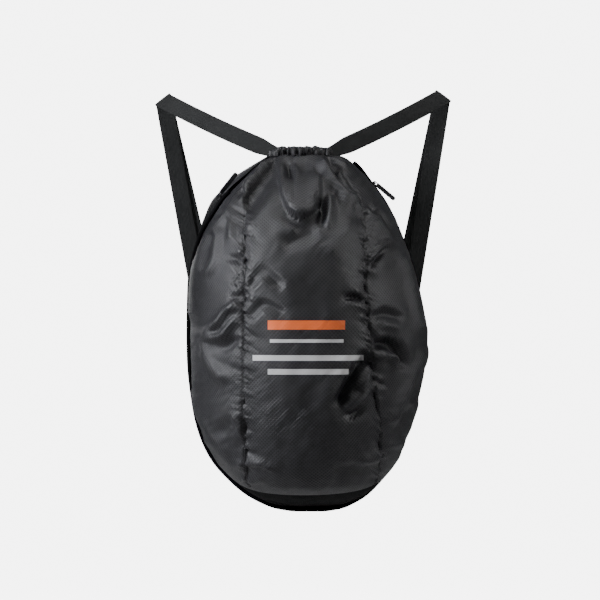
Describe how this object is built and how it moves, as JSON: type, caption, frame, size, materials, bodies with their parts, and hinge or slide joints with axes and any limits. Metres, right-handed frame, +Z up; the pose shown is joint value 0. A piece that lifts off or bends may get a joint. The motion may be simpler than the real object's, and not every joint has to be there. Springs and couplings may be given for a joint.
{
  "type": "helmet bag",
  "caption": "Soft drawstring pouch for a full-face helmet, with a gathered neck, a zip round its back edge and folded webbing shoulder straps.",
  "frame": {"origin": "midway between the two folds of the shoulder straps, where the bag hangs", "axes": "+Z up, +X to the right seen from the bag's front, +Y from the front towards the wearer's back"},
  "size_m": [0.4303, 0.2528, 0.6111],
  "materials": {
    "ripstop": "satin coated ripstop nylon",
    "base_cloth": "matte coated nylon",
    "back_cloth": "matte woven polyester",
    "zip_tape": "matte woven tape",
    "zip_coil": "semi-matte nylon coil",
    "piping": "matte bound edge",
    "slider": "worn dark grey paint on die-cast metal",
    "pull_rubber": "matte moulded rubber",
    "webbing": "flat woven webbing"
  },
  "bodies": {
    "bag": {"front_panel": "ripstop", "side_panel_left": "ripstop", "side_panel_right": "ripstop", "base_panel": "base_cloth", "back_panel": "back_cloth", "neck_casing": "ripstop", "zip_tape": "zip_tape", "zip_coil": "zip_coil", "edge_piping": "piping", "slider_left": "slider", "slider_right": "slider", "strap_left_inner": "webbing", "strap_left_outer": "webbing", "strap_right_inner": "webbing", "strap_right_outer": "webbing", "strap_tab_left": "back_cloth", "strap_tab_right": "back_cloth"},
    "pull_left": {"pull_left": "pull_rubber"},
    "pull_right": {"pull_right": "pull_rubber"}
  },
  "joints": [
    {"name": "pull_left_swing", "type": "hinge", "parent": "bag", "child": "pull_left", "pos_m": [-0.11941, -0.11192, -0.14178], "axis": [0.3059, -0.932, -0.1944], "range_deg": [0, 150]},
    {"name": "pull_right_swing", "type": "hinge", "parent": "bag", "child": "pull_right", "pos_m": [0.10308, -0.03198, -0.12101], "axis": [0.2439, -0.9182, -0.312], "range_deg": [-12, 138]}
  ]
}
